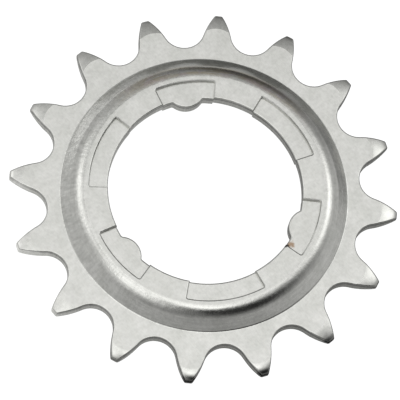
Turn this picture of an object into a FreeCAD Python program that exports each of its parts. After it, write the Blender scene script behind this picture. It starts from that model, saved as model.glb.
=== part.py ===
"""A dished bicycle sprocket: one steel sheet with sixteen teeth round a raised flange with a three-lug bore.

Millimetres and degrees. Z is the axis of the bore. The back of the tooth plate lies at Z = 0 and the
flange stands above it. One tooth and one lug are centred on +X, so the XZ plane is a plane of symmetry.
"""
import FreeCAD, Part
import math
import os

# Sheet
SHEET = 2.3                  # thickness of the steel

# Bore, lugs and half-sheared segments
BORE_RADIUS = 17.65
LUGS = 3
LUG_HEIGHT = 1.45            # how far the crown of a lug stands in from the bore
LUG_ROUND = 3.6              # radius of a lug's crown
LUG_FOOT = 0.5               # hollow radius at the foot of a lug
SEGMENT_WIDTH = 3.35         # radial width of the half-sheared segments, out from the bore
SEGMENT_DROP = 0.7           # how far a segment is pushed through towards the back
LUG_SEGMENT_ANGLE = 30.5     # angle of a segment that carries a lug
PLAIN_SEGMENT_ANGLE = 39.6   # angle of a segment between two lugs

# Dish
FLANGE_MARGIN = 0.7          # flat left between the segments and the shoulder of the dish
DISH_RISE = 2.6              # height of the flange above the tooth plate, face to face
DISH_SLOPE = 42.0            # angle of the dish wall from the plate
SHOULDER_BEND = 4.0          # outside radius of the bend at the shoulder, on the front
FOOT_BEND = 2.5              # outside radius of the bend at the foot, on the back

# Teeth
TEETH = 16
CHAIN_PITCH = 12.7
SEAT_RADIUS = 3.9            # roller seat, centred on the pitch circle
FLANK_RADIUS = 18.0          # convex flank between the seat and the tip
TIP_HEIGHT = 2.85            # height of the tips above the pitch circle
TIP_WIDTH = 1.33             # width of a tip between its corners, before they are rounded
TIP_CORNER = 0.35            # rounding of the two corners of a tip, seen from the front

# Side relief of the teeth, the same on both faces
RELIEF_LENGTH = 2.95         # radial length of the relief, back from the tip
RELIEF_SLOPE = 6.0           # slope where the relief leaves the plate
RELIEF_RADIUS = 14.0         # convex radius of the relief

# Front edges, drawn in where the punch entered
TOOTH_DRAW = 0.2             # round the teeth
FLANGE_DRAW = 0.15           # round the bore, the lugs and the hollows over the segments

# Worked out from the sizes above
LUG_ANGLE = 360.0 / LUGS
LUG_TIP_RADIUS = BORE_RADIUS - LUG_HEIGHT
SEGMENT_RADIUS = BORE_RADIUS + SEGMENT_WIDTH
FLANGE_TOP = SHEET + DISH_RISE
WALL_RUN = DISH_RISE / math.tan(math.radians(DISH_SLOPE))
HALF_SLOPE = math.tan(math.radians(DISH_SLOPE / 2))
DISH_RADIUS = SEGMENT_RADIUS + FLANGE_MARGIN + SHOULDER_BEND * HALF_SLOPE + WALL_RUN
TOOTH_ANGLE = 360.0 / TEETH
PITCH_RADIUS = CHAIN_PITCH / (2 * math.sin(math.pi / TEETH))
TIP_RADIUS = PITCH_RADIUS + TIP_HEIGHT
RELIEF_START = TIP_RADIUS - RELIEF_LENGTH
OVERRUN = 1.0                # how far a cutting shape runs past what it cuts
SAME = 0.001                 # two lengths nearer than this are the same
AXIS = FreeCAD.Vector(0, 0, 1)
CENTRE = FreeCAD.Vector(0, 0, 0)


def polar(radius, degrees):
    """A point of the XY plane at a radius and an angle round the axis."""
    angle = math.radians(degrees)
    return FreeCAD.Vector(radius * math.cos(angle), radius * math.sin(angle), 0)


def section_point(radius, z):
    """A point of the section, which is drawn in the XZ plane."""
    return FreeCAD.Vector(radius, 0, z)


def mirrored(point):
    """The same point on the other side of the X axis."""
    return FreeCAD.Vector(point.x, -point.y, point.z)


def turned(shape, degrees):
    """A copy of a shape turned round the axis."""
    copy = shape.copy()
    copy.rotate(CENTRE, AXIS, degrees)
    return copy


def line(start, end):
    return Part.LineSegment(start, end).toShape()


def arc(centre, start, end):
    """The shorter arc about a centre from one point to another."""
    towards = (start - centre) + (end - centre)
    middle = centre + towards.normalize() * (start - centre).Length
    return Part.Arc(start, middle, end).toShape()


def crossing(centre_a, radius_a, centre_b, radius_b):
    """Where two circles of the XY plane cross, at the larger Y."""
    across = centre_b - centre_a
    gap = across.Length
    along = (gap ** 2 + radius_a ** 2 - radius_b ** 2) / (2 * gap)
    aside = math.sqrt(radius_a ** 2 - along ** 2)
    across.normalize()
    foot = centre_a + across * along
    offset = FreeCAD.Vector(-across.y, across.x, 0) * aside
    return max(foot + offset, foot - offset, key=lambda point: point.y)


def bend(radius, before, corner, after):
    """The arc of a bend between the run from one point to the corner and the run on to the next."""
    reach = radius * HALF_SLOPE
    start = corner + (before - corner).normalize() * reach
    end = corner + (after - corner).normalize() * reach
    middle = (start + end) / 2 - corner
    centre = corner + middle.normalize() * math.hypot(reach, radius)
    return arc(centre, start, end), start, end


def pressed_sheet():
    """The round sheet after pressing: flange, dish wall and plate."""
    set_back = SHEET * HALF_SLOPE
    rim = TIP_RADIUS + OVERRUN
    bore_front = section_point(BORE_RADIUS, FLANGE_TOP)
    shoulder = section_point(DISH_RADIUS - WALL_RUN, FLANGE_TOP)
    inside_foot = section_point(DISH_RADIUS, SHEET)
    rim_front = section_point(rim, SHEET)
    rim_back = section_point(rim, 0)
    foot = section_point(DISH_RADIUS - set_back, 0)
    inside_shoulder = section_point(DISH_RADIUS - set_back - WALL_RUN, DISH_RISE)
    bore_back = section_point(BORE_RADIUS, DISH_RISE)
    shoulder_arc, shoulder_start, shoulder_end = bend(SHOULDER_BEND, bore_front, shoulder, inside_foot)
    foot_arc, foot_start, foot_end = bend(FOOT_BEND, rim_back, foot, inside_shoulder)
    outline = Part.Wire([
        line(bore_front, shoulder_start),
        shoulder_arc,
        line(shoulder_end, inside_foot),
        line(inside_foot, rim_front),
        line(rim_front, rim_back),
        line(rim_back, foot_start),
        foot_arc,
        line(foot_end, inside_shoulder),
        line(inside_shoulder, bore_back),
        line(bore_back, bore_front),
    ])
    return turned(Part.Face(outline).revolve(CENTRE, AXIS, 360), TOOTH_ANGLE / 2)


def relief_rings():
    """The rings of air that relieve the teeth, in front of the plate and behind it."""
    slope = math.radians(RELIEF_SLOPE)
    start = section_point(RELIEF_START, SHEET)
    centre = start - section_point(RELIEF_RADIUS * math.sin(slope), RELIEF_RADIUS * math.cos(slope))
    reach = TIP_RADIUS + OVERRUN - centre.x
    end = centre + section_point(reach, math.sqrt(RELIEF_RADIUS ** 2 - reach ** 2))
    above = section_point(end.x, SHEET + OVERRUN)
    over = section_point(start.x, SHEET + OVERRUN)
    outline = Part.Wire([arc(centre, start, end), line(end, above), line(above, over), line(over, start)])
    front = turned(Part.Face(outline).revolve(CENTRE, AXIS, 360), TOOTH_ANGLE / 2)
    return [front, front.mirror(section_point(0, SHEET / 2), AXIS)]


def tooth_edges(inset):
    """One tooth on +X and the roller seat after it, as arcs, drawn in from the cut rim by an inset."""
    tip_corner = polar(TIP_RADIUS, math.degrees(math.asin(TIP_WIDTH / 2 / TIP_RADIUS)))
    seat_centre = polar(PITCH_RADIUS, TOOTH_ANGLE / 2)
    flank_centre = mirrored(crossing(
        mirrored(seat_centre), SEAT_RADIUS + FLANK_RADIUS, mirrored(tip_corner), FLANK_RADIUS))
    corner_centre = crossing(CENTRE, TIP_RADIUS - TIP_CORNER, flank_centre, FLANK_RADIUS - TIP_CORNER)
    to_flank = (seat_centre - flank_centre).normalize()
    to_corner = (corner_centre - flank_centre).normalize()
    flank_radius = FLANK_RADIUS - inset
    seat_start = flank_centre + to_flank * flank_radius
    seat_end = turned(Part.Vertex(mirrored(seat_start)), TOOTH_ANGLE).Point
    on_flank = flank_centre + to_corner * flank_radius
    on_tip = corner_centre * ((TIP_RADIUS - inset) / corner_centre.Length)
    return [
        arc(mirrored(flank_centre), mirrored(seat_start), mirrored(on_flank)),
        arc(mirrored(corner_centre), mirrored(on_flank), mirrored(on_tip)),
        arc(CENTRE, mirrored(on_tip), on_tip),
        arc(corner_centre, on_tip, on_flank),
        arc(flank_centre, on_flank, seat_start),
        arc(seat_centre, seat_start, seat_end),
    ]


def tooth_outline(inset, height):
    """The closed outline of all the teeth at a height."""
    edges = []
    for k in range(TEETH):
        edges += [turned(edge, k * TOOTH_ANGLE) for edge in tooth_edges(inset)]
    outline = Part.Wire(edges)
    outline.translate(FreeCAD.Vector(0, 0, height))
    return outline


def toothed_block():
    """A block with the outline of the teeth, which narrows where the punch drew in the front edge."""
    shoulder = tooth_outline(0, SHEET - TOOTH_DRAW)
    front = tooth_outline(TOOTH_DRAW, SHEET)
    down = FreeCAD.Vector(0, 0, -SHEET - OVERRUN)
    up = FreeCAD.Vector(0, 0, DISH_RISE + OVERRUN)
    lower = Part.Face(shoulder).extrude(down)
    drawn = Part.makeLoft([shoulder, front], True, True)
    upper = Part.Face(front).extrude(up)
    return lower.fuse([drawn, upper])


def plain_bore_edge(start):
    return [arc(CENTRE, start, mirrored(start))]


def lug_bore_edge(start):
    """The bore's edge with a lug: bore, hollow foot, round crown, hollow foot, bore."""
    crown_centre = polar(LUG_TIP_RADIUS + LUG_ROUND, 0)
    foot_centre = crossing(CENTRE, BORE_RADIUS - LUG_FOOT, crown_centre, LUG_ROUND + LUG_FOOT)
    on_bore = foot_centre * (BORE_RADIUS / foot_centre.Length)
    on_crown = crown_centre + (foot_centre - crown_centre).normalize() * LUG_ROUND
    return [
        arc(CENTRE, start, on_bore),
        arc(foot_centre, on_bore, on_crown),
        arc(crown_centre, on_crown, mirrored(on_crown)),
        arc(mirrored(foot_centre), mirrored(on_crown), mirrored(on_bore)),
        arc(CENTRE, mirrored(on_bore), mirrored(start)),
    ]


def segment_outline(width, bore_edge):
    """A segment centred on +X, from the bore out to its outer edge."""
    on_bore = polar(BORE_RADIUS, width / 2)
    on_rim = polar(SEGMENT_RADIUS, width / 2)
    return Part.Face(Part.Wire([
        line(mirrored(on_bore), mirrored(on_rim)),
        arc(CENTRE, mirrored(on_rim), on_rim),
        line(on_rim, on_bore),
        *bore_edge(on_bore),
    ]))


def segment_outlines():
    """The outlines of all the half-sheared segments, with a lug and without in turn."""
    with_lug = segment_outline(LUG_SEGMENT_ANGLE, lug_bore_edge)
    plain = segment_outline(PLAIN_SEGMENT_ANGLE, plain_bore_edge)
    placed = []
    for k in range(LUGS):
        placed.append(turned(with_lug, k * LUG_ANGLE))
        placed.append(turned(plain, (k + 0.5) * LUG_ANGLE))
    return placed


def upright(outline, bottom, height):
    """An outline of the XY plane raised into a solid between two heights."""
    face = outline.copy()
    face.translate(FreeCAD.Vector(0, 0, bottom))
    return face.extrude(FreeCAD.Vector(0, 0, height))


def through(outline):
    """An outline raised through the whole height of the sprocket, and past it on both sides."""
    return upright(outline, -OVERRUN, FLANGE_TOP + 2 * OVERRUN)


def outer_radius(edge):
    """The largest radius of an edge, at its ends and its middle."""
    middle = edge.valueAt((edge.FirstParameter + edge.LastParameter) / 2)
    found = [math.hypot(corner.X, corner.Y) for corner in edge.Vertexes]
    return max(found + [math.hypot(middle.x, middle.y)])


def front_edges_of_flange(solid):
    """The edges on the flange's front round the bore and the hollows, and the segments' edges on the bore."""
    found = []
    for edge in solid.Edges:
        heights = [corner.Z for corner in edge.Vertexes]
        reach = outer_radius(edge)
        on_flange = min(heights) > FLANGE_TOP - SAME and reach < SEGMENT_RADIUS + SAME
        on_segment = max(abs(FLANGE_TOP - SEGMENT_DROP - z) for z in heights) < SAME
        if on_flange or (on_segment and reach < BORE_RADIUS + SAME):
            found.append(edge)
    return found


def sprocket():
    """The sheet pressed, blanked, relieved and half-sheared."""
    toothed = pressed_sheet().common(toothed_block()).cut(relief_rings())
    outlines = segment_outlines()
    windows = [through(outline) for outline in outlines]
    pushed = [upright(outline, DISH_RISE - SEGMENT_DROP, SHEET) for outline in outlines]
    solid = toothed.cut(windows).fuse(pushed).removeSplitter().Solids[0]
    return solid.makeChamfer(FLANGE_DRAW, front_edges_of_flange(solid))


os.makedirs("parts", exist_ok=True)
sprocket().exportStep("parts/sprocket.step")
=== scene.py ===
"""The looks of the sprocket: one piece of satin steel on a white table under soft studio light.

Lengths in the geometry below are millimetres in the plan, like the part's own sizes, and become metres
when the mesh is made. A point of the plan is a complex number.
"""

import bpy
import cmath
import math
import numpy as np
from mathutils import Matrix, Vector
from mathutils.geometry import delaunay_2d_cdt


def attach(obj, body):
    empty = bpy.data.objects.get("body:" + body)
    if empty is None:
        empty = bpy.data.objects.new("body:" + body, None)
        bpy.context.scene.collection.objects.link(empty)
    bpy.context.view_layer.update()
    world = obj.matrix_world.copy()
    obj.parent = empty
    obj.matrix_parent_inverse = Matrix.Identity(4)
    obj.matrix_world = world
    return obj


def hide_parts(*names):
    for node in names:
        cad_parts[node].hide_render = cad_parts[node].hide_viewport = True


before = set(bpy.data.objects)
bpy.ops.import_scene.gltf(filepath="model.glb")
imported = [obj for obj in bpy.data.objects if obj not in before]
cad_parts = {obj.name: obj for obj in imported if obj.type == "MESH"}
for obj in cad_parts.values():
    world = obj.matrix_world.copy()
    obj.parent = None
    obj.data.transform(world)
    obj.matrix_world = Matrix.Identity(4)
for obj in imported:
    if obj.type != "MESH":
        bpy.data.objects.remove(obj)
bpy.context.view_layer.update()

# Sizes of the part
SHEET = 2.3
DISH_RISE = 2.6
DISH_SLOPE = math.radians(42.0)
SHOULDER_BEND = 4.0
FOOT_BEND = 2.5
BORE_RADIUS = 17.65
LUG_TIP_RADIUS = 16.2
LUG_ROUND = 3.6
LUG_FOOT = 0.5
SEGMENT_RADIUS = 21.0
SEGMENT_DROP = 0.7
LUG_SEGMENT = math.radians(30.5)
PLAIN_SEGMENT = math.radians(39.6)
FLANGE_MARGIN = 0.7
TEETH = 16
PITCH_RADIUS = 12.7 / (2 * math.sin(math.pi / TEETH))
SEAT_RADIUS = 3.9
FLANK_RADIUS = 18.0
TIP_RADIUS = PITCH_RADIUS + 2.85
TIP_WIDTH = 1.33
TIP_CORNER = 0.35
RELIEF_LENGTH = 2.95
RELIEF_SLOPE = math.radians(6.0)
RELIEF_RADIUS = 14.0

# Small roundings
TOOTH_EDGE = 0.27            # front edge of the teeth, rolled in by the punch
TIP_EDGE = 0.33              # the same edge at the very tip
TIP_WEAR = 0.11              # how quickly the very tip is rubbed down, and where that starts
WEAR_START = 34.6
BACK_EDGE = 0.08             # edges of the back
FLANGE_EDGE = 0.30           # front edges round the bore, the lugs and the hollows
STEP_CORNER = 0.25           # corners of the segments, seen from the front
FOOT_HOLLOW = 0.5            # hollow at the foot of the dish
INNER_HOLLOW = 0.5           # hollow under the shoulder of the dish
RELIEF_DROOP = 0.11          # how the start of the relief falls away to the sides of a tooth
SHORT_TEETH = (1, 2, 3)      # teeth whose relief starts farther out and softly
SHORT_START = 33.1
SHORT_SLOPE = math.radians(2.0)
SHORT_RADIUS = 6.0
SOFT_TEETH = (14, 15, 0)     # teeth whose relief has no line at its start
SOFT_START = 32.0
SOFT_SLOPE = math.radians(0.5)
SOFT_RADIUS = 18.0

# Worked out
FLANGE_TOP = SHEET + DISH_RISE
SEGMENT_TOP = FLANGE_TOP - SEGMENT_DROP
SEGMENT_BACK = DISH_RISE - SEGMENT_DROP
WALL_RUN = DISH_RISE / math.tan(DISH_SLOPE)
HALF_SLOPE = math.tan(DISH_SLOPE / 2)
DISH_RADIUS = SEGMENT_RADIUS + FLANGE_MARGIN + SHOULDER_BEND * HALF_SLOPE + WALL_RUN
SET_BACK = SHEET * HALF_SLOPE
RELIEF_START = TIP_RADIUS - RELIEF_LENGTH
HALF_TOOTH = math.pi / TEETH
SIXTH = math.pi / 3
STEP = math.radians(3.75 / 8)        # divides half a tooth and a sixth of the turn alike
RING_STEPS = round(HALF_TOOTH / STEP)
SIXTH_STEPS = round(SIXTH / STEP)
INNER_RING = 21.5                    # where the flange's faces meet the dish's
OUTER_RING = 27.6                    # where the dish's faces meet the teeth's
SAME_POINT = 0.0002                  # points nearer than this are one point of the mesh
FRONT_STEPS = 6                      # divisions of a rounded edge
BACK_STEPS = 2
CREST_STEPS = 12                     # divisions of the line where a relief starts
WALL_SHARES = (0, 0.12, 0.4, 0.7, 1)     # rows of a tooth's wall, as shares of its height
STEP_SHARES = (0.0, 0.12, 0.22, 1.0)     # rows of the wall between a segment and the flange
BORE_ROWS = (3.6, 3.1)                   # heights of the bore wall's rows between its edges
SIDE_ROWS = (0.5, 1.2, 2.0)              # distances from the bore of points along a segment's side


def polar(radius, angle):
    return cmath.rect(radius, angle)


def crossing(centre_a, radius_a, centre_b, radius_b):
    """Where two circles cross, on the side of the larger imaginary part."""
    across = centre_b - centre_a
    gap = abs(across)
    along = (gap ** 2 + radius_a ** 2 - radius_b ** 2) / (2 * gap)
    aside = math.sqrt(radius_a ** 2 - along ** 2)
    unit = across / gap
    found = [centre_a + unit * complex(along, side) for side in (aside, -aside)]
    return max(found, key=lambda p: p.imag)


def sweep(centre, start, end, count, outward):
    """Points on the shorter arc from start to end, with their normals away from the steel or towards it."""
    turn = cmath.phase((end - centre) / (start - centre))
    spokes = [(start - centre) * cmath.exp(1j * turn * k / count) for k in range(count + 1)]
    return [(centre + s, s / abs(s) * outward) for s in spokes]


def joined(*runs):
    """Runs that follow one another smoothly, without the doubled points."""
    path = list(runs[0])
    for run in runs[1:]:
        path += run[1:]
    return path


class Mesh:
    """Collects patches of surface; corners keep their own normals, and points that meet are shared.

    Each point carries two marks for the steel: how far down a sheared wall it lies, from 0 at the front
    edge to 1 at the back edge, and how deep it lies in the seam of a step, 1 at the seam.
    """

    def __init__(self):
        self.points = []
        self.normals = []
        self.marks = []
        self.faces = []
        self.count = 0

    def add(self, points, normals, faces, marks=None):
        """One patch: its points, a normal and marks for each, and faces as tuples of its point numbers."""
        self.points.append(np.array(points, float))
        self.normals.append(np.array(normals, float))
        self.marks.append(np.zeros((len(points), 2)) if marks is None else np.array(marks, float))
        self.faces += [tuple(i + self.count for i in face) for face in faces]
        self.count += len(points)

    def grid(self, rows, normals, marks):
        """A patch of quads between rows of equally many points, with one pair of marks for each row."""
        wide = len(rows[0])
        faces = []
        for j in range(len(rows) - 1):
            for i in range(wide - 1):
                a = j * wide + i
                faces.append((a, a + 1, a + wide + 1, a + wide))
        spread = [mark for mark in marks for _ in range(wide)]
        self.add([p for row in rows for p in row], [n for row in normals for n in row], faces, spread)

    def take(self, other, angle, mirror):
        """Adds another mesh, mirrored or not, turned round the axis."""
        turn = np.array([
            [math.cos(angle), math.sin(angle), 0],
            [-math.sin(angle), math.cos(angle), 0],
            [0, 0, 1],
        ])
        turn = np.diag([1, -1 if mirror else 1, 1]) @ turn
        self.add(
            np.concatenate(other.points) @ turn,
            np.concatenate(other.normals) @ turn,
            other.faces,
            np.concatenate(other.marks))

    def object(self, name):
        """The patches as one object in metres; each face is turned to agree with its normals."""
        points = np.concatenate(self.points)
        normals = np.concatenate(self.normals)
        marks = np.concatenate(self.marks)
        keys = np.round(points / SAME_POINT).astype(np.int64)
        _, first, place = np.unique(keys, axis=0, return_index=True, return_inverse=True)
        place = place.reshape(-1)
        faces = []
        corners = []
        for face in self.faces:
            kept = [i for n, i in enumerate(face) if place[i] != place[face[n - 1]]]
            if len(kept) < 3:
                continue
            across = np.cross(points[kept[1]] - points[kept[0]], points[kept[-1]] - points[kept[0]])
            if across @ normals[kept].sum(axis=0) < 0:
                kept.reverse()
            faces.append([int(place[i]) for i in kept])
            corners += kept
        data = bpy.data.meshes.new(name)
        data.from_pydata((points[first] / 1000).tolist(), [], faces)
        data.polygons.foreach_set("use_smooth", [True] * len(data.polygons))
        for n, label in enumerate(("depth", "seam")):
            data.attributes.new(label, "FLOAT", "POINT").data.foreach_set("value", marks[first][:, n])
        length = np.linalg.norm(normals, axis=1, keepdims=True)
        data.normals_split_custom_set((normals / length)[corners].tolist())
        data.update()
        made = bpy.data.objects.new(name, data)
        bpy.context.scene.collection.objects.link(made)
        return made


def raised(p, z):
    return (p.real, p.imag, z)


def tilted(normal, up):
    """A unit vector of the plan leaned up (or down) by its vertical share."""
    flat = math.sqrt(max(0.0, 1 - up * up))
    return (normal.real * flat, normal.imag * flat, up)


def edge_steps(radius, count):
    """The rounding of an edge from the wall to the face: set-back, drop and upward share of the normal."""
    steps = []
    for k in range(count + 1):
        angle = math.pi / 2 * k / count
        steps.append((radius * (1 - math.cos(angle)), radius * (1 - math.sin(angle)), math.sin(angle)))
    return steps


def fill(outline, inside=()):
    """Triangles over a closed outline with more points inside it, counter-clockwise."""
    points = list(outline) + list(inside)
    count = len(outline)
    edges = [(i, (i + 1) % count) for i in range(count)]
    flat = [Vector((p.real, p.imag)) for p in points]
    _, _, faces, origin, _, _ = delaunay_2d_cdt(flat, edges, [], 1, 1e-7)
    return points, [tuple(origin[i][0] for i in face) for face in faces]


# Teeth
class Relief:
    """The relief of a tooth's faces: where it starts, its first slope and the radius it curves on with."""

    def __init__(self, start, slope, radius):
        self.start = start
        self.slope = slope
        self.radius = radius

    def past(self, p):
        return abs(p) + RELIEF_DROOP * p.imag ** 2 - self.start

    def at(self, p):
        """Depth and slope at a point of a tooth on +X, zero on the plate."""
        past = self.past(p)
        if past < -1e-6:
            return 0.0, 0.0
        lever = past + self.radius * math.sin(self.slope)
        depth = self.radius * math.cos(self.slope) - math.sqrt(self.radius ** 2 - lever ** 2)
        rubbed = max(0.0, abs(p) - WEAR_START)
        return depth + TIP_WEAR * rubbed ** 2, math.asin(lever / self.radius) + 2 * TIP_WEAR * rubbed


def edge_radius(p, front):
    """Radius of an edge's rounding at a point of the outline; in front it is wider towards the tip."""
    if not front:
        return BACK_EDGE
    share = min(1.0, max(0.0, (abs(p) - RELIEF_START) / (0.9 * RELIEF_LENGTH)))
    return TOOTH_EDGE + (TIP_EDGE - TOOTH_EDGE) * share ** 2


def fall(p):
    """The way down the relief."""
    way = p / abs(p) + 2j * RELIEF_DROOP * p.imag
    return way / abs(way)


def plate_share(relief, flank_centre, to_seat, turn):
    """How far round the flank, from 0 to 1, the plate reaches before the relief starts."""
    low, high = 0.0, 1.0
    for _ in range(50):
        share = (low + high) / 2
        p = flank_centre + (FLANK_RADIUS - TOOTH_EDGE) * to_seat * cmath.exp(1j * turn * share)
        if relief.past(p) < 0:
            low = share
        else:
            high = share
    return low


def tooth_outline(relief):
    """Half a tooth's outline on +X, from the root of the gullet: its run on the plate and on the relief.

    The centre of the flank comes with them.
    """
    tip_corner = polar(TIP_RADIUS, math.asin(TIP_WIDTH / 2 / TIP_RADIUS))
    seat_centre = polar(PITCH_RADIUS, HALF_TOOTH)
    flank_centre = crossing(
        seat_centre.conjugate(), SEAT_RADIUS + FLANK_RADIUS, tip_corner.conjugate(), FLANK_RADIUS)
    flank_centre = flank_centre.conjugate()
    corner_centre = crossing(0, TIP_RADIUS - TIP_CORNER, flank_centre, FLANK_RADIUS - TIP_CORNER)
    to_seat = (seat_centre - flank_centre) / abs(seat_centre - flank_centre)
    to_corner = (corner_centre - flank_centre) / abs(corner_centre - flank_centre)
    turn = cmath.phase(to_corner / to_seat)
    share = plate_share(relief, flank_centre, to_seat, turn)
    root = polar(PITCH_RADIUS - SEAT_RADIUS, HALF_TOOTH)
    seat_start = flank_centre + to_seat * FLANK_RADIUS
    crease = flank_centre + FLANK_RADIUS * to_seat * cmath.exp(1j * turn * share)
    on_flank = flank_centre + to_corner * FLANK_RADIUS
    on_tip = corner_centre * (TIP_RADIUS / abs(corner_centre))
    plate_run = joined(
        sweep(seat_centre, root, seat_start, 16, -1),
        sweep(flank_centre, seat_start, crease, 7, 1),
    )
    relief_run = joined(
        sweep(flank_centre, crease, on_flank, 10, 1),
        sweep(corner_centre, on_flank, on_tip, 5, 1),
        sweep(0, on_tip, abs(on_tip), 4, 1),
    )
    return plate_run, relief_run, flank_centre


def tooth_edge(mesh, run, relief, front):
    """The rounded edge of one face along a run, lowered by the relief if any; gives its inner edge."""
    sign = 1 if front else -1
    level = SHEET if front else 0.0
    rows, normals = [], []
    for back, drop, up in edge_steps(1.0, FRONT_STEPS if front else BACK_STEPS):
        row, row_normals = [], []
        for p, n in run:
            rounding = edge_radius(p, front)
            q = p - n * back * rounding
            depth, slope = relief.at(q) if relief else (0.0, 0.0)
            row.append(raised(q, level - sign * (depth + drop * rounding)))
            lean = Vector(tilted(fall(q), math.cos(slope))) if slope else Vector((0, 0, 1))
            leant = lean * up + Vector((n.real, n.imag, 0)) * math.sqrt(1 - up * up)
            row_normals.append((leant.x, leant.y, sign * leant.z))
        rows.append(row)
        normals.append(row_normals)
    mesh.grid(rows, normals, [(0.0 if front else 1.0, 0.0)] * len(rows))
    return [p - n * edge_radius(p, front) for p, n in run]


def crest_line(meet, relief):
    """The line where the relief starts, from a point on the edge to the middle of the tooth."""
    crest = []
    for k in range(CREST_STEPS + 1):
        w = meet.imag * (1 - k / CREST_STEPS)
        r = relief.start - RELIEF_DROOP * w ** 2
        crest.append(complex(math.sqrt(r * r - w * w), w))
    offset = meet - crest[0]
    crest = [c + offset * (1 - k / CREST_STEPS) for k, c in enumerate(crest)]
    crest[0] = meet
    return crest


def plate_face(mesh, edge, crest, front):
    """The flat of half a tooth, out from the ring round the dish."""
    ring = [polar(OUTER_RING, HALF_TOOTH - k * STEP) for k in range(RING_STEPS + 1)]
    points, faces = fill(edge + crest[1:] + ring[::-1])
    level, sign = (SHEET, 1) if front else (0.0, -1)
    mesh.add([raised(p, level) for p in points], [(0, 0, sign)] * len(points), faces)


def points_on_relief(relief, flank_centre, front):
    """Points spread over half a relief, clear of its edges; those on the middle line come apart."""
    middle, aside = [], []
    for k in range(1, 9):
        r = relief.start + (TIP_RADIUS - relief.start) * k / 9.3
        for j in range(10):
            w = 0.22 * j
            p = complex(math.sqrt(r * r - w * w), w) if j else complex(r, 0)
            edge = edge_radius(p, front)
            in_flank = abs(p - flank_centre) < FLANK_RADIUS - edge - 0.15
            in_tip = abs(p) < TIP_RADIUS - edge - 0.12
            if in_flank and in_tip and relief.past(p) > 0.15:
                (aside if j else middle).append(p)
    return middle, aside


def relief_face(mesh, edge, crest, relief, flank_centre, front):
    """The relief of half a tooth."""
    middle, aside = points_on_relief(relief, flank_centre, front)
    middle.sort(key=abs, reverse=True)
    points, faces = fill(edge + middle + crest[::-1][:-1], aside)
    level, sign = (SHEET, 1) if front else (0.0, -1)
    places, normals = [], []
    for p in points:
        depth, slope = relief.at(p)
        if relief.past(p) < 1e-3:
            slope = relief.slope
        places.append(raised(p, level - sign * depth))
        x, y, z = tilted(fall(p), math.cos(slope))
        normals.append((x, y, sign * z))
    mesh.add(places, normals, faces)


def tooth_wall(mesh, run, relief):
    """The sheared wall along a run, lower where the faces are relieved."""
    rows = []
    for share in WALL_SHARES:
        row = []
        for p, _ in run:
            depth = relief.at(p)[0] if relief else 0.0
            high = SHEET - depth - edge_radius(p, True)
            low = depth + BACK_EDGE
            row.append(raised(p, high + (low - high) * share))
        rows.append(row)
    normals = [[(n.real, n.imag, 0) for _, n in run]] * len(rows)
    mesh.grid(rows, normals, [(share, 0.0) for share in WALL_SHARES])


def half_tooth(relief):
    """Half a tooth on +X and half the gullet after it, front, edge and back."""
    plate_run, relief_run, flank_centre = tooth_outline(relief)
    mesh = Mesh()
    for front in (True, False):
        plate_edge = tooth_edge(mesh, plate_run, None, front)
        relief_edge = tooth_edge(mesh, relief_run, relief, front)
        crest = crest_line(relief_edge[0], relief)
        plate_face(mesh, plate_edge, crest, front)
        relief_face(mesh, relief_edge, crest, relief, flank_centre, front)
    tooth_wall(mesh, plate_run, None)
    tooth_wall(mesh, relief_run, relief)
    return mesh


# Dish
def bend_points(corner, before, after, reach, count):
    """A bend of the section from one leg to the next: points with the normals of its arc."""
    leg_in = (before - corner) / abs(before - corner)
    leg_out = (after - corner) / abs(after - corner)
    start, end = corner + leg_in * reach, corner + leg_out * reach
    half = abs(cmath.phase(leg_out / leg_in)) / 2
    bisector = (leg_in + leg_out) / abs(leg_in + leg_out)
    centre = corner + bisector * reach / math.cos(half)
    return sweep(centre, start, end, count, 1)


def dish_side(front):
    """The section of one side of the dish, from the flange to the plate, as points with normals."""
    if front:
        level, low = FLANGE_TOP, SHEET
        shoulder = complex(DISH_RADIUS - WALL_RUN, level)
        foot = complex(DISH_RADIUS, low)
        shoulder_reach, foot_reach = SHOULDER_BEND * HALF_SLOPE, FOOT_HOLLOW * HALF_SLOPE
    else:
        level, low = DISH_RISE, 0.0
        shoulder = complex(DISH_RADIUS - SET_BACK - WALL_RUN, level)
        foot = complex(DISH_RADIUS - SET_BACK, low)
        shoulder_reach, foot_reach = INNER_HOLLOW * HALF_SLOPE, FOOT_BEND * HALF_SLOPE
    inner, outer = complex(INNER_RING, level), complex(OUTER_RING, low)
    first = bend_points(shoulder, inner, foot, shoulder_reach, 14 if front else 4)
    second = bend_points(foot, shoulder, outer, foot_reach, 5 if front else 12)
    up = 1j if front else -1j
    bulge = 1 if front else -1
    wall = complex(math.sin(DISH_SLOPE), math.cos(DISH_SLOPE)) * bulge
    path = [(inner, up)]
    path += [(p, n * bulge) for p, n in first]
    path += [((first[-1][0] * (3 - k) + second[0][0] * k) / 3, wall) for k in (1, 2)]
    path += [(p, -n * bulge) for p, n in second]
    path.append((outer, up))
    return path


def dish():
    """The dish and the ring of plate round it, front and back, over half a tooth."""
    mesh = Mesh()
    for front in (True, False):
        rows, normals = [], []
        for p, n in dish_side(front):
            row, row_normals = [], []
            for k in range(RING_STEPS + 1):
                way = polar(1, k * STEP)
                row.append(raised(way * p.real, p.imag))
                row_normals.append((way.real * n.real, way.imag * n.real, n.imag))
            rows.append(row)
            normals.append(row_normals)
        mesh.grid(rows, normals, [(0.0, 0.0)] * len(rows))
    return mesh


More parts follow.
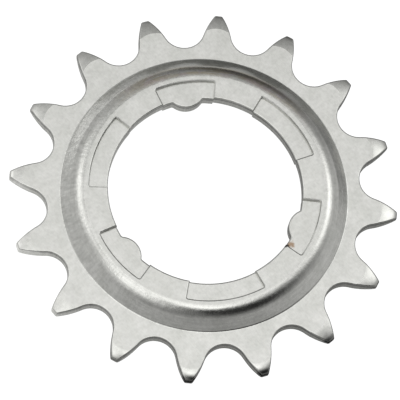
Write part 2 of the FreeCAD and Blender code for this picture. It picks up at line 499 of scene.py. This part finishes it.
# Flange, segments and bore
def step_path(half_angle):
    """A segment's outline from its middle line out along the rim, round the corner and down to the bore."""
    side = polar(1, half_angle)
    inwards = side * 1j
    rim_end = polar(SEGMENT_RADIUS, half_angle - STEP_CORNER / SEGMENT_RADIUS)
    side_start = side * SEGMENT_RADIUS - side * STEP_CORNER
    corner_centre = side_start - inwards * STEP_CORNER
    rim = sweep(0, SEGMENT_RADIUS, rim_end, max(4, round(half_angle / STEP / 2)), 1)
    corner = sweep(corner_centre, rim_end, side_start, 5, 1)
    gaps = [0.0] + [back for back, _, _ in edge_steps(FLANGE_EDGE, FRONT_STEPS)[1:]]
    gaps += [back for back, _, _ in edge_steps(BACK_EDGE, BACK_STEPS)[1:]]
    gaps += SIDE_ROWS
    gaps = sorted(set(round(gap, 9) for gap in gaps), reverse=True)
    down = [(side * (BORE_RADIUS + gap), inwards) for gap in gaps]
    return rim + corner[1:] + down


def lug_path(end_angle):
    """The bore's edge of a lug segment, from the crown of the lug to the segment's side."""
    crown_centre = LUG_TIP_RADIUS + LUG_ROUND
    foot_centre = crossing(0, BORE_RADIUS - LUG_FOOT, crown_centre, LUG_ROUND + LUG_FOOT)
    on_bore = foot_centre * (BORE_RADIUS / abs(foot_centre))
    on_crown = crown_centre + (foot_centre - crown_centre) / abs(foot_centre - crown_centre) * LUG_ROUND
    return joined(
        sweep(crown_centre, complex(LUG_TIP_RADIUS, 0), on_crown, 12, 1),
        sweep(foot_centre, on_crown, on_bore, 6, -1),
        sweep(0, on_bore, polar(BORE_RADIUS, end_angle), 16, -1),
    )


def height_over_bore(p, level, sign, radius):
    """Height of a face where it rounds off into the bore."""
    gap = abs(p) - BORE_RADIUS
    drop = 0.0
    if gap < radius - 1e-7:
        drop = radius - math.sqrt(max(0.0, radius ** 2 - (radius - gap) ** 2))
    return level - sign * drop


def mitred(q, back, mitres):
    """A point of a rounded edge, held back where two edges meet at the bore.

    Each mitre has the angle of a segment's side, the way the edge lies from it, and whether the edge is
    the side's own.
    """
    for angle, way, at_side in mitres:
        local = q * cmath.exp(-1j * angle)
        if at_side:
            local = complex(max(local.real, BORE_RADIUS + back), local.imag)
        elif local.imag * way <= back:
            local = complex(math.sqrt(abs(q) ** 2 - back ** 2), back * way)
        q = local * cmath.exp(1j * angle)
    return q


def flange_edge(mesh, run, level, outwards, mitres, front, seam=0.0):
    """The rounded edge of one of the flange's faces along a run; gives its inner edge."""
    sign = 1 if front else -1
    steps = edge_steps(FLANGE_EDGE, FRONT_STEPS) if front else edge_steps(BACK_EDGE, BACK_STEPS)
    rows, normals, marks = [], [], []
    for k, (back, drop, up) in enumerate(steps):
        line = [mitred(p - n * outwards * back, back, mitres) for p, n in run]
        rows.append([raised(q, level - sign * drop) for q in line])
        normals.append([tilted(n * outwards, sign * up) for _, n in run])
        marks.append((0.0 if front else 1.0, seam * (1 - k / (len(steps) - 1))))
    mesh.grid(rows, normals, marks)
    return line


def step_wall(mesh, run, proud_level, sunk_level, outwards, front):
    """The sheared wall between a segment and the flange, with the seam just under its edge."""
    sign = 1 if front else -1
    radius = FLANGE_EDGE if front else BACK_EDGE
    top = proud_level - sign * radius
    rows = []
    for share in STEP_SHARES:
        row = []
        for p, _ in run:
            foot = height_over_bore(p, sunk_level, sign, radius)
            row.append(raised(p, top + (foot - top) * share))
        rows.append(row)
    facing = [tilted(n * outwards, 0.0) for _, n in run]
    mesh.grid(rows, [facing] * len(rows), [(0.5, 1.0), (0.5, 1.0), (0.5, 0.0), (0.5, 0.0)])


def flange_side(mesh, runs, lug_end, plain_end, front):
    """One side of a sixth of the flange: its rounded edges, the walls of the steps and the faces."""
    lug_step, plain_step, tongue, lug_bore, plain_bore = runs
    sign = 1 if front else -1
    radius = FLANGE_EDGE if front else BACK_EDGE
    flange_level = FLANGE_TOP if front else DISH_RISE
    segment_level = SEGMENT_TOP if front else SEGMENT_BACK
    proud_level, sunk_level = (flange_level, segment_level) if front else (segment_level, flange_level)
    # Edges at the bore, mitred where they stand proud of the next one
    tongue_mitres = [(lug_end, 1, False), (plain_end, -1, False)] if front else []
    lug_mitres = [] if front else [(lug_end, -1, False)]
    plain_mitres = [] if front else [(plain_end, 1, False)]
    tongue_in = flange_edge(mesh, tongue, flange_level, 1, tongue_mitres, front)
    lug_in = flange_edge(mesh, lug_bore, segment_level, 1, lug_mitres, front)
    plain_in = flange_edge(mesh, plain_bore, segment_level, 1, plain_mitres, front)
    # Proud edges of the two steps, and the walls under them
    outwards = -1 if front else 1
    lug_step_in = flange_edge(mesh, lug_step, proud_level, outwards, [(lug_end, 0, True)], front, 1.0)
    plain_step_in = flange_edge(mesh, plain_step, proud_level, outwards, [(plain_end, 0, True)], front, 1.0)
    for run in (lug_step, plain_step):
        step_wall(mesh, run, proud_level, sunk_level, outwards, front)
    # Faces
    lug_foot = [p for p, _ in lug_step if abs(p) > BORE_RADIUS + radius - 1e-7]
    plain_foot = [p for p, _ in plain_step if abs(p) > BORE_RADIUS + radius - 1e-7]
    if front:
        inner_edge = lug_step_in + tongue_in + plain_step_in
        lug_edge, plain_edge = lug_foot, plain_foot
    else:
        inner_edge = lug_foot + tongue_in + plain_foot
        lug_edge, plain_edge = lug_step_in, plain_step_in
    outer_edge = [polar(INNER_RING, SIXTH - k * STEP) for k in range(SIXTH_STEPS + 1)]
    for outline, level in (
            (inner_edge + outer_edge, flange_level),
            (lug_in + lug_edge[::-1], segment_level),
            (plain_in + plain_edge[::-1], segment_level)):
        clean = [p for k, p in enumerate(outline) if abs(p - outline[k - 1]) > 1e-6]
        points, faces = fill(clean)
        mesh.add([raised(p, level) for p in points], [(0, 0, sign)] * len(points), faces)


def bore_wall(mesh, run, levels):
    """The sheared wall of the bore along a run, through the given heights from the top down."""
    rows = [[raised(p, z) for p, _ in run] for z in levels]
    normals = [[tilted(n, 0.0) for _, n in run] for _ in levels]
    mesh.grid(rows, normals, [((levels[0] - z) / (levels[0] - levels[-1]), 0.0) for z in levels])


def sixth():
    """A sixth of the flange: half a lug segment, the tongue beside it and half a plain segment."""
    lug_end = LUG_SEGMENT / 2
    plain_end = SIXTH - PLAIN_SEGMENT / 2
    about = cmath.exp(1j * SIXTH)
    lug_step = step_path(lug_end)
    plain_step = [(about * p.conjugate(), about * n.conjugate()) for p, n in step_path(PLAIN_SEGMENT / 2)]
    plain_step.reverse()
    tongue = sweep(0, polar(BORE_RADIUS, lug_end), polar(BORE_RADIUS, plain_end), 40, -1)
    lug_bore = lug_path(lug_end)
    plain_bore = sweep(0, polar(BORE_RADIUS, plain_end), polar(BORE_RADIUS, SIXTH), 32, -1)
    mesh = Mesh()
    for front in (True, False):
        flange_side(mesh, (lug_step, plain_step, tongue, lug_bore, plain_bore), lug_end, plain_end, front)
    levels = [
        FLANGE_TOP - FLANGE_EDGE,
        SEGMENT_TOP - FLANGE_EDGE,
        *BORE_ROWS,
        DISH_RISE + BACK_EDGE,
        SEGMENT_BACK + BACK_EDGE,
    ]
    bore_wall(mesh, tongue, levels[:-1])
    bore_wall(mesh, lug_bore, levels[1:])
    bore_wall(mesh, plain_bore, levels[1:])
    return mesh


# The whole sprocket
long_relief = half_tooth(Relief(RELIEF_START, RELIEF_SLOPE, RELIEF_RADIUS))
short_relief = half_tooth(Relief(SHORT_START, SHORT_SLOPE, SHORT_RADIUS))
soft_relief = half_tooth(Relief(SOFT_START, SOFT_SLOPE, SOFT_RADIUS))
reliefs = {k: short_relief for k in SHORT_TEETH} | {k: soft_relief for k in SOFT_TEETH}
half_dish = dish()
half_flange = sixth()
whole = Mesh()
for mirror in (False, True):
    for k in range(TEETH):
        whole.take(reliefs.get(k, long_relief), 2 * HALF_TOOTH * k, mirror)
        whole.take(half_dish, 2 * HALF_TOOTH * k, mirror)
    for k in range(3):
        whole.take(half_flange, 2 * SIXTH * k, mirror)
body = whole.object("sprocket_body")
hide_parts("sprocket")
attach(body, "root")


# Short ways to build node trees
class Graph:
    """Short ways to add nodes to one tree; an input may be a number, a colour or another node's socket."""

    def __init__(self, tree):
        self.tree = tree

    def node(self, kind, **settings):
        made = self.tree.nodes.new(kind)
        for name, value in settings.items():
            setattr(made, name, value)
        return made

    def put(self, socket, value):
        if isinstance(value, bpy.types.NodeSocket):
            self.tree.links.new(value, socket)
        else:
            socket.default_value = value

    def math(self, operation, *values):
        made = self.node("ShaderNodeMath", operation=operation)
        for socket, value in zip(made.inputs, values):
            self.put(socket, value)
        return made.outputs[0]

    def vector(self, operation, a, b):
        made = self.node("ShaderNodeVectorMath", operation=operation)
        self.put(made.inputs[0], a)
        self.put(made.inputs[1], b)
        return made.outputs["Value" if operation in ("DOT_PRODUCT", "DISTANCE") else "Vector"]

    def ramp(self, value, low, high, to_low=0.0, to_high=1.0, smooth=True):
        """A value carried from one range to another, and held at its ends."""
        made = self.node("ShaderNodeMapRange", interpolation_type="SMOOTHSTEP" if smooth else "LINEAR")
        for name, v in (("Value", value), ("From Min", low), ("From Max", high),
                        ("To Min", to_low), ("To Max", to_high)):
            self.put(made.inputs[name], v)
        return made.outputs["Result"]

    def spread(self, pattern, low, high):
        """A noise carried to a range of its own."""
        return self.ramp(pattern, 0.3, 0.7, low, high, False)

    def noise(self, where, scale, detail, rough):
        made = self.node("ShaderNodeTexNoise")
        for name, v in (("Vector", where), ("Scale", scale), ("Detail", detail), ("Roughness", rough)):
            self.put(made.inputs[name], v)
        return made.outputs["Fac"]

    def mix(self, share, a, b):
        """A colour between two others."""
        made = self.node("ShaderNodeMix", data_type="RGBA")
        self.put(made.inputs["Factor"], share)
        self.put(made.inputs["A"], a)
        self.put(made.inputs["B"], b)
        return made.outputs["Result"]

    def sum(self, *values):
        total = values[0]
        for value in values[1:]:
            total = self.math("ADD", total, value)
        return total

    def product(self, *values):
        total = values[0]
        for value in values[1:]:
            total = self.math("MULTIPLY", total, value)
        return total

    def scaled(self, colour, share):
        made = self.node("ShaderNodeVectorMath", operation="SCALE")
        self.put(made.inputs[0], colour)
        self.put(made.inputs["Scale"], share)
        return made.outputs["Vector"]

    def split(self, vector):
        made = self.node("ShaderNodeSeparateXYZ")
        self.put(made.inputs[0], vector)
        return made.outputs

    def join(self, x, y, z):
        made = self.node("ShaderNodeCombineXYZ")
        for socket, value in zip(made.inputs, (x, y, z)):
            self.put(socket, value)
        return made.outputs[0]


# Steel: places in millimetres, and directions from the axis, where its finish differs
STAIN = (-5.35, 17.55, 4.3)
GRIME = (-4.42, 17.25, 4.5)
SHADE_LINE_FADES = ((15.1, -12.5, 4.9), (-13.9, -13.6, 4.9), (-8.2, 19.1, 4.9))  # here the painted shade line round a segment fades, and its edge gets painted light
SHADE_LINE_FADE_INSIDE = 2.0                   # the painted shade line is faintest within this of such a place
SHADE_LINE_FADE_OUTSIDE = 3.2                  # and whole again from here
TINT_SIDE = (-0.70, -0.71, 0.0)
BARRED_SIDE = (0.65, -0.76, 0.0)
OPEN_SIDE = (0.82, 0.57, 0.0)        # the side that the inner walls and edges with painted light face
# sides where the tips of the teeth get painted shade and painted light
SHADED_TIP_SIDE = (0.42, 0.91, 0.0)
LIT_TIP_SIDE = (0.94, -0.34, 0.0)
TO_MILLIMETRES = (1000, 1000, 1000)
ONE_MICRON = 0.000001


class Surface:
    """Where the steel is of each kind: masks from 0 to 1, from place, slope and the marks of the points.
    Some masks say where shade or light is painted.
    """

    def __init__(self, g):
        coordinates = g.node("ShaderNodeTexCoord")
        self.spot = g.vector("MULTIPLY", coordinates.outputs["Object"], TO_MILLIMETRES)
        self.facing = coordinates.outputs["Normal"]
        self.depth = g.node("ShaderNodeAttribute", attribute_name="depth").outputs["Fac"]
        self.seam = g.node("ShaderNodeAttribute", attribute_name="seam").outputs["Fac"]
        x, y, _ = g.split(self.spot)
        self.radius = g.math("SQRT", g.sum(g.product(x, x), g.product(y, y)))
        self.outwards = g.join(g.math("DIVIDE", x, self.radius), g.math("DIVIDE", y, self.radius), 0.0)
        self.upright = g.math("ABSOLUTE", g.split(self.facing)[2])
        self.flat = g.ramp(self.upright, 0.9960, 0.9994)
        formed = g.math("SUBTRACT", 1.0, self.flat)
        self.pressed = g.product(formed, g.ramp(self.radius, 27.0, 26.4))
        self.wall = g.ramp(self.upright, 0.45, 0.15)
        self.add_sides(g)
        self.add_tips(g)
        self.add_sheared(g)
        self.add_steps(g)

    def add_sides(self, g):
        """The side of the dish with a heat tint, and the side where it is barred."""
        to_tint = g.vector("DOT_PRODUCT", self.outwards, TINT_SIDE)
        self.tinted = g.product(
            g.ramp(self.radius, 21.8, 22.6), g.ramp(self.radius, 26.2, 25.6), g.ramp(to_tint, 0.55, 0.95))
        self.to_barred = g.vector("DOT_PRODUCT", self.outwards, BARRED_SIDE)
        sloping = g.ramp(self.upright, 0.97, 0.85)
        self.barred = g.product(sloping, g.ramp(self.to_barred, 0.1, 0.9, 0.12, 1.0))

    def add_tips(self, g):
        """Painted shade on the tips of the teeth on one side and on their walls, and painted light on the
        walls near the tips on another side.
        """
        to_dark = g.vector("DOT_PRODUCT", self.outwards, SHADED_TIP_SIDE)
        to_pale = g.vector("DOT_PRODUCT", self.outwards, LIT_TIP_SIDE)
        self.shaded_tip_wall = g.product(self.wall, g.ramp(self.radius, 34.2, 34.9), g.ramp(to_dark, 0.6, 0.9))
        self.painted_dark_tip = g.product(g.ramp(self.radius, 34.25, 34.75), g.ramp(to_dark, 0.80, 0.93))
        self.painted_pale_tip = g.product(g.ramp(self.radius, 30.5, 33.5), g.ramp(to_pale, 0.88, 0.97))

    def add_sheared(self, g):
        """Sheared walls: burnished by the punch next to the front, torn below that, a burr at the back. The
        burnished band and the rolled-in front edges of the teeth are darkened as painted shade.
        """
        self.open_side = g.vector("DOT_PRODUCT", self.facing, OPEN_SIDE)
        toothed = g.ramp(self.radius, 26.0, 27.0)
        rolled_in = g.product(g.ramp(self.upright, 0.86, 0.65), toothed)
        # painted shade: the dark band goes on the teeth, and at the bore only on walls facing the open
        # side; not at the pale tips
        at_bore = g.product(g.ramp(self.seam, 0.2, 0.05), g.ramp(self.open_side, 0.0, 0.4))
        rubbed = g.product(g.math("MAXIMUM", at_bore, toothed), g.math("SUBTRACT", 1.0, self.painted_pale_tip))
        self.torn = g.product(self.wall, g.ramp(self.depth, 0.16, 0.30))
        self.burnished_and_shaded = g.product(
            g.math("MAXIMUM", self.wall, rolled_in), g.ramp(self.depth, 0.30, 0.16), rubbed)
        self.burr = g.product(self.wall, g.ramp(self.depth, 0.86, 0.97))

    def add_steps(self, g):
        """Painted shade: a dark line in the seam round each segment. Painted light: paler walls and edges
        on the open side.
        """
        lean = g.math("SQRT", g.math("SUBTRACT", 1.0001, g.product(self.upright, self.upright)))
        open_way = g.math("DIVIDE", self.open_side, lean)
        sharp = 1.0
        for centre in SHADE_LINE_FADES:
            away = g.vector("DISTANCE", self.spot, centre)
            sharp = g.product(sharp, g.ramp(away, SHADE_LINE_FADE_INSIDE, SHADE_LINE_FADE_OUTSIDE, 0.1, 1.0))
        # painted shade: the seam line, lighter and weaker on walls facing the open side, faded near the
        # listed places
        line_start = g.ramp(open_way, 0.0, 0.6, 0.2, 0.45)
        line = g.ramp(self.seam, line_start, g.math("ADD", line_start, 0.3))
        self.line = g.product(line, g.ramp(open_way, 0.75, 0.95, 1.0, 0.25), sharp)
        # painted light: paler inner walls and step edges facing the open side, the edges near the faded
        # places, and walls near the pale tips
        inner = g.product(self.wall, g.ramp(self.radius, 17.66, 17.70), g.ramp(self.radius, 21.6, 21.3))
        inner = g.product(inner, g.ramp(self.open_side, 0.2, 0.8), g.ramp(self.seam, 0.3, 0.0, 0.0, 0.5))
        edge = g.product(g.ramp(self.upright, 0.10, 0.25), g.ramp(open_way, 0.74, 0.93))
        edge = g.math("MAXIMUM", edge, g.math("SUBTRACT", 1.0, sharp))
        edge = g.product(g.ramp(self.seam, 0.0, 0.08), edge)
        self.painted_light = g.math("MAXIMUM", g.math("MAXIMUM", inner, edge), g.product(self.wall, self.painted_pale_tip))


class Grain:
    """Noise over the steel: lines out over the dish and round it, lines down the sheared walls, clouds."""

    def __init__(self, g, at):
        lengthways = g.join(0.0, 0.0, g.math("MULTIPLY", at.radius, 0.6))
        self.drawn = g.noise(
            g.vector("ADD", g.vector("MULTIPLY", at.outwards, (44, 44, 0)), lengthways), 1.0, 2.0, 0.5)
        rings = g.join(0.0, 0.0, g.math("MULTIPLY", at.radius, 3.2))
        self.round_about = g.noise(
            g.vector("ADD", g.vector("MULTIPLY", at.outwards, (3, 3, 0)), rings), 1.0, 3.0, 0.6)
        self.sheared = g.noise(g.vector("MULTIPLY", at.spot, (5.5, 5.5, 0.35)), 1.0, 3.0, 0.6)
        self.rolled = g.noise(g.vector("MULTIPLY", at.spot, (9.0, 0.9, 9.0)), 1.0, 2.0, 0.6)
        self.clouds = g.noise(at.spot, 0.32, 4.0, 0.6)
        self.blotches = g.noise(at.spot, 0.55, 2.0, 0.5)
        self.mottle = g.noise(at.spot, 1.4, 3.0, 0.6)
        self.lumps = g.noise(at.spot, 1.7, 3.0, 0.55)


def lightness(g, at, grain):
    """How light the steel is, as a share of its plain colour; besides grain and tone it carries painted
    shade and painted light.
    """
    rubbed = g.product(
        g.ramp(at.radius, 20.9, 21.7), g.ramp(at.radius, 22.6, 22.0), g.ramp(grain.clouds, 0.42, 0.58))
    return g.sum(
        1.0,
        g.spread(grain.clouds, -0.08, 0.08),
        g.spread(grain.mottle, -0.08, 0.08),
        g.product(at.flat, g.spread(grain.rolled, 0.015, 0.11)),
        g.product(rubbed, g.spread(grain.lumps, -0.13, 0.01)),
        g.product(at.barred, g.spread(grain.drawn, -0.14, 0.08)),
        g.product(at.pressed, g.spread(grain.round_about, -0.08, 0.06)),
        g.product(at.torn, g.spread(grain.sheared, 0.0, 0.26)),
        # the burnished band's own darker finish, with painted shade on it and on the rolled-in edges
        g.product(at.burnished_and_shaded, g.spread(grain.sheared, -0.55, -0.30)),
        g.product(at.burr, -0.25),
        # painted shade on the tips of the teeth on one side
        g.product(at.shaded_tip_wall, -0.30),
        g.product(at.painted_dark_tip, -0.45),
        # painted light on walls and edges
        g.product(at.painted_light, 0.18),
        g.product(at.tinted, g.ramp(at.radius, 24.6, 25.4), -0.14),
        # painted shade: the dark line in the seam round each segment
        g.product(at.line, g.ramp(grain.clouds, 0.4, 0.6, -0.58, -0.25, False)),
    )


def base_colour(g, at, grain):
    """A slightly warm, greenish grey, with a faint heat tint and a brown stain in a segment's corner."""
    colour = g.mix(grain.clouds, (0.700, 0.708, 0.664, 1), (0.710, 0.706, 0.684, 1))
    band = g.product(at.tinted, g.ramp(at.radius, 24.6, 23.6))
    brown = g.product(band, g.ramp(grain.round_about, 0.36, 0.56, 0.0, 0.8))
    violet = g.product(band, g.ramp(grain.blotches, 0.48, 0.66, 0.0, 0.30))
    colour = g.mix(brown, colour, (0.54, 0.48, 0.36, 1))
    colour = g.mix(violet, colour, (0.66, 0.56, 0.70, 1))
    colour = g.scaled(colour, lightness(g, at, grain))
    stain = g.sum(g.vector("DISTANCE", at.spot, STAIN), g.spread(grain.lumps, -0.35, 0.35))
    colour = g.mix(g.ramp(stain, 1.0, 0.25, 0.0, 0.8), colour, (0.34, 0.20, 0.10, 1))
    grime = g.sum(g.vector("DISTANCE", at.spot, GRIME), g.spread(grain.lumps, -0.15, 0.15))
    return g.mix(g.ramp(grime, 0.68, 0.42, 0.0, 0.9), colour, (0.05, 0.045, 0.04, 1))


def roughness(g, at, grain):
    """Satin on the flat faces, smoother where the die rubbed, dull where the edge tore."""
    return g.sum(
        0.165,
        g.product(at.flat, 0.135),
        g.product(at.torn, 0.30),
        g.product(at.burnished_and_shaded, 0.06),
        # where light is painted the steel is rougher too
        g.product(at.painted_light, 0.15),
        g.spread(grain.mottle, -0.02, 0.03),
    )


def fine_relief(g, at, grain):
    """Height of the surface in thousandths of a millimetre."""
    lumpy = g.ramp(at.to_barred, -0.2, 0.8, 0.4, 1.0)
    return g.sum(
        g.spread(grain.mottle, -1.1, 1.1),
        g.product(at.pressed, lumpy, g.spread(grain.lumps, -7.5, 7.5)),
        g.product(at.barred, g.spread(grain.drawn, -2.0, 2.0)),
        g.product(at.torn, g.spread(grain.sheared, -5.0, 5.0)),
    )


def steel():
    """Satin sheet steel: rolled faces, burnished where it was pressed, duller on its sheared edges."""
    material = bpy.data.materials.new("satin_steel")
    material.use_nodes = True
    g = Graph(material.node_tree)
    at = Surface(g)
    grain = Grain(g, at)
    shader = material.node_tree.nodes["Principled BSDF"]
    g.put(shader.inputs["Base Color"], base_colour(g, at, grain))
    # where light is painted the steel is less metallic
    g.put(shader.inputs["Metallic"], g.ramp(at.painted_light, 0.0, 1.0, 1.0, 0.2, False))
    g.put(shader.inputs["Roughness"], roughness(g, at, grain))
    bump = g.node("ShaderNodeBump")
    bump.inputs["Strength"].default_value = 1.0
    bump.inputs["Distance"].default_value = ONE_MICRON
    g.put(bump.inputs["Height"], fine_relief(g, at, grain))
    g.put(shader.inputs["Normal"], bump.outputs["Normal"])
    return material


body.data.materials.append(steel())


# Studio
TURN = math.radians(219.6)           # the +X tooth's direction in the photograph's plan
LEAN = math.radians(20.08)           # how far the axis leans from the line of sight
LEAN_WAY = math.radians(74.30)       # where it leans to, from the photograph's right
DISTANCE = 567.0
SHIFT_X = 0.581
SHIFT_Y = 0.388
LENS = 280.7
FLOOR_HALF = 3.0                     # metres
FLOOR_GAP = 0.00005                  # the sprocket's back stands this far off the table
AMBIENT = 0.736
DARKEST = 0.03

# Soft lights and dark patches in the photograph's plan: azimuth from its right, angle from the zenith,
# spread and strength
LIGHTS = (
    (75, 9, 9.2, 1.06),
    (-39, 8, 5.1, 1.36),
    (-167, 11, 5.0, 0.80),
    (-136, 30, 11.9, 0.77),
    (145, 35, 9.2, 1.12),
    (28, 35, 8.8, 1.60),
    (-147, 21, 6.1, 0.71),
    (-122, 43, 18.0, -0.42),
    (-49, 37, 22.1, -0.74),
    (-78, 21, 6.0, -0.18),
    (-85, 92, 14.0, -0.40),
    (74, 79, 25.6, -0.65),
)


def plan(x, y, z):
    """A direction given in the photograph's plan, with z up from the table, in the part's frame."""
    return (Matrix.Rotation(-TURN, 3, "Z") @ Vector((x, y, z))).normalized()


def place_camera():
    """The camera, at the photograph's viewing angle."""
    camera = bpy.data.objects.new("camera", bpy.data.cameras.new("camera"))
    bpy.context.scene.collection.objects.link(camera)
    camera.data.sensor_width = 36.0
    camera.data.lens = LENS
    camera.data.clip_start = 0.01
    camera.data.clip_end = 10.0
    hinge = Vector((-math.sin(LEAN_WAY), math.cos(LEAN_WAY), 0))
    placed = Matrix.Rotation(LEAN, 3, hinge) @ Matrix.Rotation(TURN, 3, "Z")
    back = placed.transposed()
    eye = back @ Vector((-SHIFT_X, -SHIFT_Y, DISTANCE)) / 1000
    camera.matrix_world = Matrix.Translation(eye) @ back.to_4x4()
    bpy.context.scene.camera = camera


def white_table_material():
    """A white table that the lens sees fully lit, and that the steel reflects much dimmer, with a painted
    shadow to the lower right and a painted bright strip to the left.
    """
    material = bpy.data.materials.new("white_table")
    material.use_nodes = True
    shader = material.node_tree.nodes["Principled BSDF"]
    shader.inputs["Base Color"].default_value = (0.2, 0.2, 0.2, 1)
    shader.inputs["Roughness"].default_value = 0.9
    shader.inputs["Specular IOR Level"].default_value = 0.0
    shader.inputs["Emission Color"].default_value = (1, 1, 1, 1)
    g = Graph(material.node_tree)
    seen = g.node("ShaderNodeLightPath").outputs["Is Camera Ray"]
    where = g.node("ShaderNodeTexCoord").outputs["Object"]
    right = g.vector("DOT_PRODUCT", where, plan(0.91, -0.42, 0))
    left = g.vector("DOT_PRODUCT", where, plan(-0.98, -0.17, 0))
    # painted shadow on the table to the lower right and a painted bright strip to the left, seen only in
    # reflections
    shade = g.product(g.ramp(right, -0.03, 0.03), g.ramp(right, 0.15, 0.05))
    reflected = g.sum(g.ramp(shade, 0.0, 1.0, 0.34, 0.12), g.ramp(left, 0.026, 0.045, 0.0, 0.6))
    g.put(shader.inputs["Emission Strength"], g.ramp(seen, 0.0, 1.0, reflected, 1.0))
    return material


def lay_floor():
    """The table, just under the sprocket's back."""
    data = bpy.data.meshes.new("floor")
    w = FLOOR_HALF
    data.from_pydata([(-w, -w, 0), (w, -w, 0), (w, w, 0), (-w, w, 0)], [], [(0, 1, 2, 3)])
    data.materials.append(white_table_material())
    floor = bpy.data.objects.new("floor", data)
    floor.location.z = -FLOOR_GAP
    bpy.context.scene.collection.objects.link(floor)


def light_studio():
    """Even light from all round, with soft lights and dark patches in it; the lens sees plain white."""
    world = bpy.data.worlds.new("studio")
    bpy.context.scene.world = world
    world.use_nodes = True
    world.node_tree.nodes.clear()
    g = Graph(world.node_tree)
    way = g.node("ShaderNodeTexCoord").outputs["Generated"]
    light = AMBIENT
    for azimuth, zenith, spread, strength in LIGHTS:
        a, z = math.radians(azimuth), math.radians(zenith)
        middle = plan(math.sin(z) * math.cos(a), math.sin(z) * math.sin(a), math.cos(z))
        sharp = 1 / math.radians(spread) ** 2
        away = g.math("MULTIPLY_ADD", g.vector("DOT_PRODUCT", way, middle), sharp, -sharp)
        light = g.math("MULTIPLY_ADD", g.math("EXPONENT", away), strength, light)
    seen = g.node("ShaderNodeLightPath").outputs["Is Camera Ray"]
    shine = g.node("ShaderNodeBackground")
    g.put(shine.inputs["Strength"], g.math("MAXIMUM", g.math("MAXIMUM", light, DARKEST), seen))
    g.put(g.node("ShaderNodeOutputWorld").inputs[0], shine.outputs[0])


place_camera()
lay_floor()
light_studio()
bpy.context.scene.view_settings.view_transform = "Standard"
